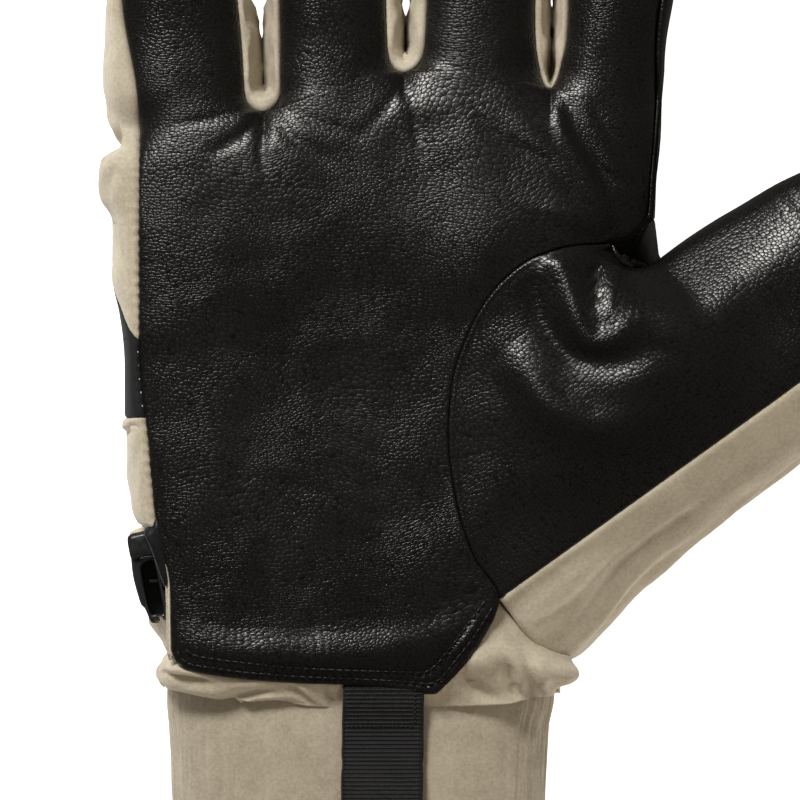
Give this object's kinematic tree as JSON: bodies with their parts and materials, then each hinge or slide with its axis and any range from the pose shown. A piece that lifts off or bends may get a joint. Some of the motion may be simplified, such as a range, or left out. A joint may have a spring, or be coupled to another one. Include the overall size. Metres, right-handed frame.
{
  "type": "mountaineering glove",
  "caption": "Insulated five-finger work glove for a right hand: leather palm and wing thumb, stretch-fabric sides and back, gathered elastic cuff, pull tab and side clip.",
  "frame": {"origin": "on the flat of the back of the hand, on the surface that the glove lies on", "axes": "+X towards the thumb, +Y towards the fingertips, +Z out of the palm"},
  "size_m": [0.1815, 0.2623, 0.0424],
  "materials": {
    "leather": "pebbled black goat leather",
    "stretch_fabric": "matte stone stretch weave",
    "elastic_fabric": "the same weave, gathered over elastic",
    "panel_fabric": "smooth charcoal stretch fabric",
    "webbing": "ribbed black webbing",
    "plastic": "black moulded plastic"
  },
  "bodies": {
    "root": {"palm_leather": "leather", "thumb_leather": "leather", "web_gusset": "leather", "index_side": "leather", "little_side_fabric": "stretch_fabric", "wrist_side_fabric": "stretch_fabric", "back_finger_fabric": "stretch_fabric", "back_wrist_fabric": "stretch_fabric", "fourchette_little_ring": "stretch_fabric", "fourchette_ring_middle": "stretch_fabric", "fourchette_middle_index": "stretch_fabric", "thumb_fabric": "stretch_fabric", "wrist_fabric": "stretch_fabric", "cuff": "elastic_fabric", "knuckle_panel": "panel_fabric", "side_panel": "panel_fabric", "thumb_panel": "panel_fabric", "pull_tab": "webbing", "clip_webbing": "webbing", "clip_body": "plastic"}
  },
  "joints": []
}
